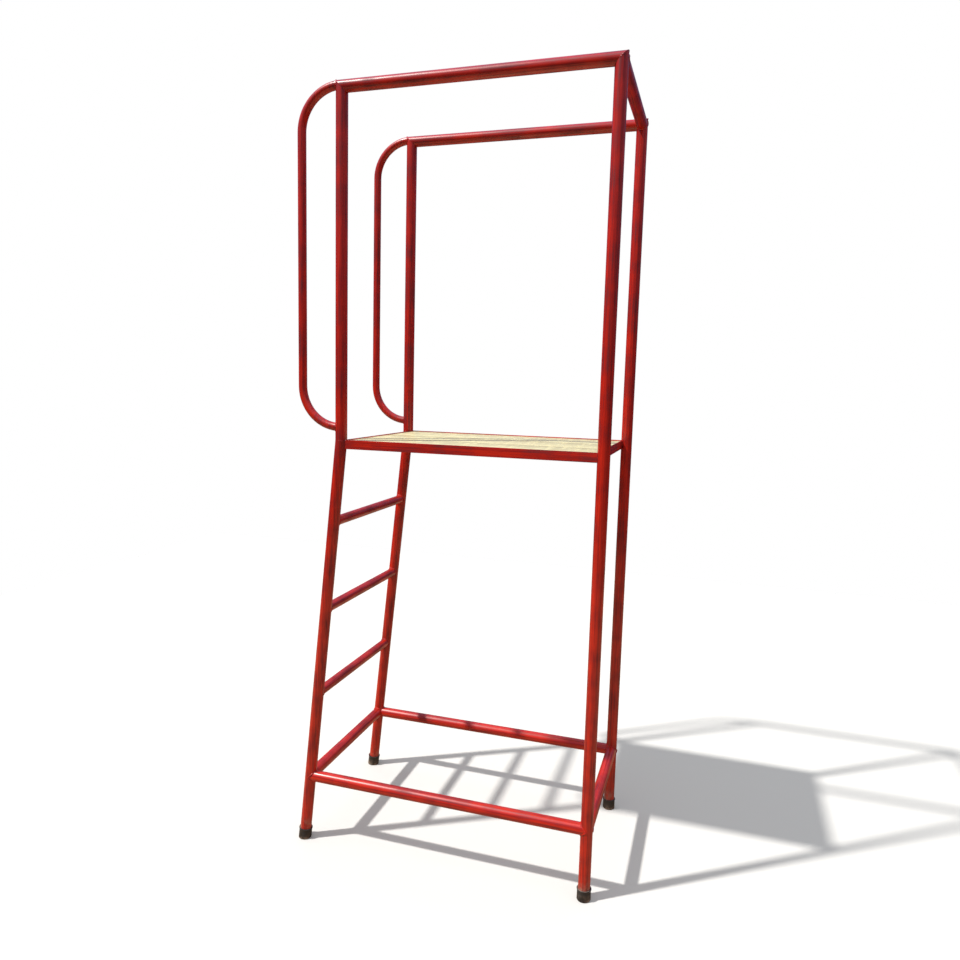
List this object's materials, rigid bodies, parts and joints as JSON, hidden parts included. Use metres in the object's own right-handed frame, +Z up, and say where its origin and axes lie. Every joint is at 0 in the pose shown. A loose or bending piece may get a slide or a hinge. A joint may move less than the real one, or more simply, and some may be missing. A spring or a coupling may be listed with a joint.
{
  "type": "platform stand",
  "caption": "Free-standing welded tube platform: a guarded timber deck at 1.4 m, climbed by a raked ladder end with a grab loop at each side.",
  "frame": {"origin": "centre of the footprint at floor level", "axes": "+Z up, +X from the ladder end to the far end, +Y from the front side to the rear side"},
  "size_m": [1.0304, 0.6004, 2.503],
  "materials": {
    "red_enamel": "glossy brushed enamel",
    "varnished_pine": "varnished softwood boards",
    "black_rubber": "matte moulded",
    "zinc_steel": "zinc plated"
  },
  "bodies": {
    "root": {"post_front_left": "red_enamel", "post_rear_left": "red_enamel", "post_front_right": "red_enamel", "post_rear_right": "red_enamel", "ladder_leg_front": "red_enamel", "ladder_leg_rear": "red_enamel", "top_rail_front": "red_enamel", "top_rail_rear": "red_enamel", "top_rail_end": "red_enamel", "grab_loop_front": "red_enamel", "grab_loop_rear": "red_enamel", "rung_lower": "red_enamel", "rung_middle": "red_enamel", "rung_upper": "red_enamel", "base_bar_ladder_end": "red_enamel", "base_bar_far_end": "red_enamel", "stretcher_front": "red_enamel", "stretcher_rear": "red_enamel", "deck_angle_front": "red_enamel", "deck_angle_rear": "red_enamel", "deck_angle_ladder_end": "red_enamel", "deck_angle_far_end": "red_enamel", "deck_board_front": "varnished_pine", "deck_board_middle": "varnished_pine", "deck_board_rear": "varnished_pine", "board_screws": "zinc_steel", "ferrule_front_left": "black_rubber", "ferrule_rear_left": "black_rubber", "ferrule_front_right": "black_rubber", "ferrule_rear_right": "black_rubber", "ferrule_washers": "zinc_steel", "welds_ladder": "red_enamel", "welds_base_bars": "red_enamel", "welds_stretchers": "red_enamel", "welds_grab_loops": "red_enamel", "welds_top_corners": "red_enamel", "welds_end_rail": "red_enamel"}
  },
  "joints": []
}
